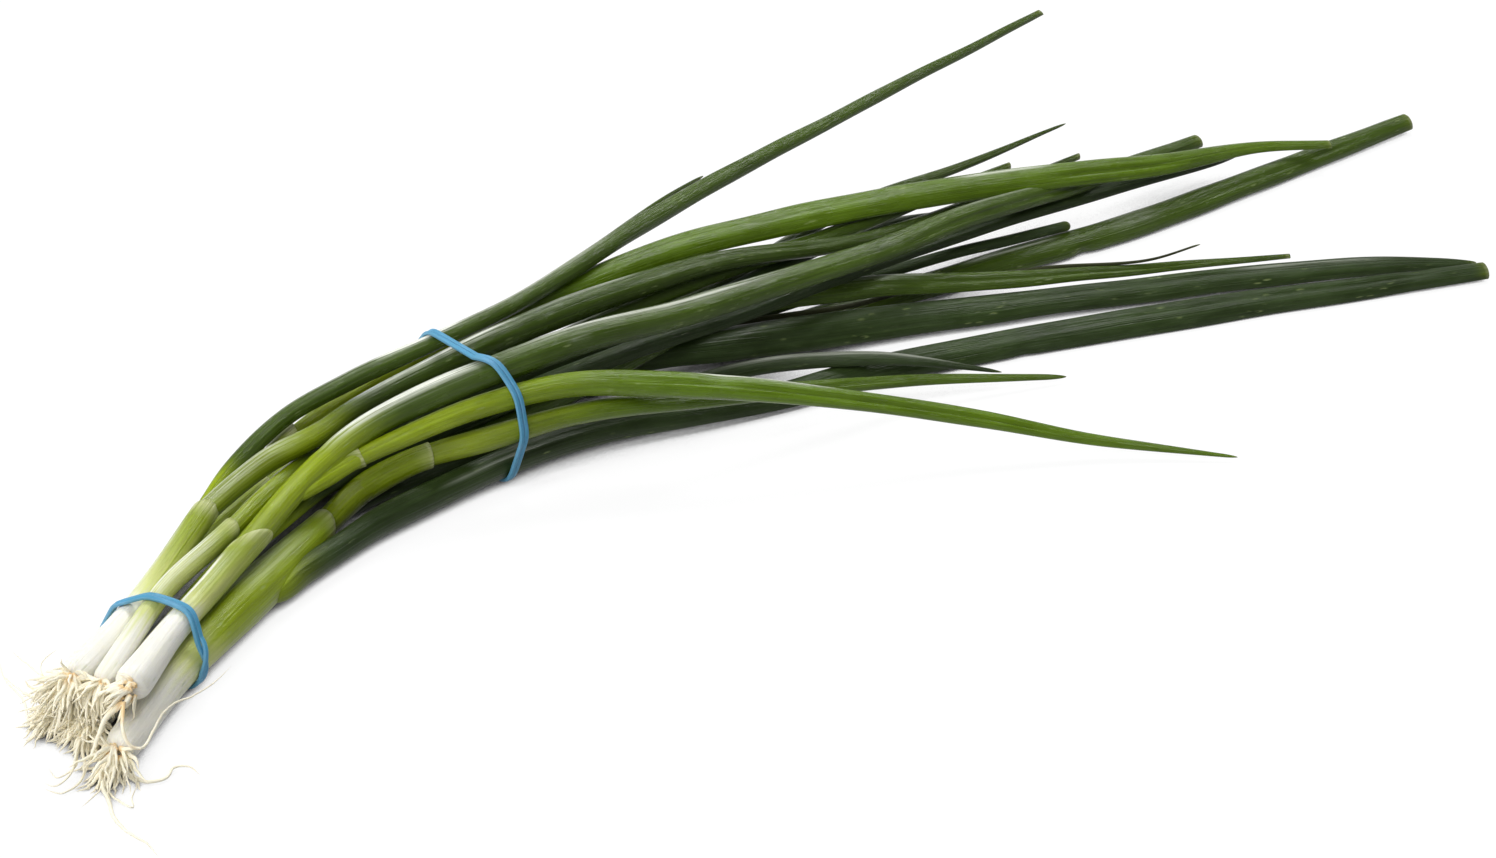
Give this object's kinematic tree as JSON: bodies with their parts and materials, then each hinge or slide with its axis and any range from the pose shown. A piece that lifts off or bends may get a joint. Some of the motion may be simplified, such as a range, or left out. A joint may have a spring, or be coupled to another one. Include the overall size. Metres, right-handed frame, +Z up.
{
  "type": "spring onion bunch",
  "caption": "Bunch of spring onions lying on its side: white-footed stalks with root tufts, fanned hollow green leaves, held by blue rubber bands.",
  "frame": {"origin": "on the surface that the bunch lies on, under the middle of its box", "axes": "+X along the bunch from the roots to the leaf tips, +Y across it, +Z up from the surface"},
  "size_m": [0.5605, 0.2549, 0.0432],
  "materials": {
    "shaft": "satin, moist plant skin, white at the root end going to yellow-green",
    "bright_leaf": "satin, waxy plant skin with fine lengthwise veins",
    "mid_leaf": "satin, waxy plant skin with fine lengthwise veins",
    "dark_leaf": "matt, bluish waxy bloom over dark green",
    "roots": "matt, fibrous",
    "rubber_band": "matt blue rubber"
  },
  "bodies": {
    "root": {"onion_1_shaft": "shaft", "onion_2_shaft": "shaft", "onion_3_shaft": "shaft", "onion_4_shaft": "shaft", "onion_5_shaft": "shaft", "onion_6_shaft": "shaft", "onion_1_sheath_leaf": "mid_leaf", "onion_1_top_leaf": "bright_leaf", "onion_1_broad_leaf": "bright_leaf", "onion_2_main_leaf": "mid_leaf", "onion_2_dark_leaf": "dark_leaf", "onion_2_thin_leaf": "mid_leaf", "onion_3_front_leaf": "mid_leaf", "onion_3_drooping_leaf": "bright_leaf", "onion_3_under_leaf": "dark_leaf", "onion_4_inner_leaf": "bright_leaf", "onion_4_bottom_leaf": "dark_leaf", "onion_4_grey_leaf": "dark_leaf", "onion_5_wide_leaf": "dark_leaf", "onion_5_narrow_leaf": "mid_leaf", "onion_5_short_leaf": "dark_leaf", "onion_6_long_leaf": "mid_leaf", "onion_6_back_leaf": "mid_leaf", "onion_6_dry_leaf": "dark_leaf", "onion_1_roots": "roots", "onion_2_roots": "roots", "onion_3_roots": "roots", "onion_4_roots": "roots", "onion_5_roots": "roots", "onion_6_roots": "roots", "root_band": "rubber_band", "leaf_band": "rubber_band"}
  },
  "joints": []
}
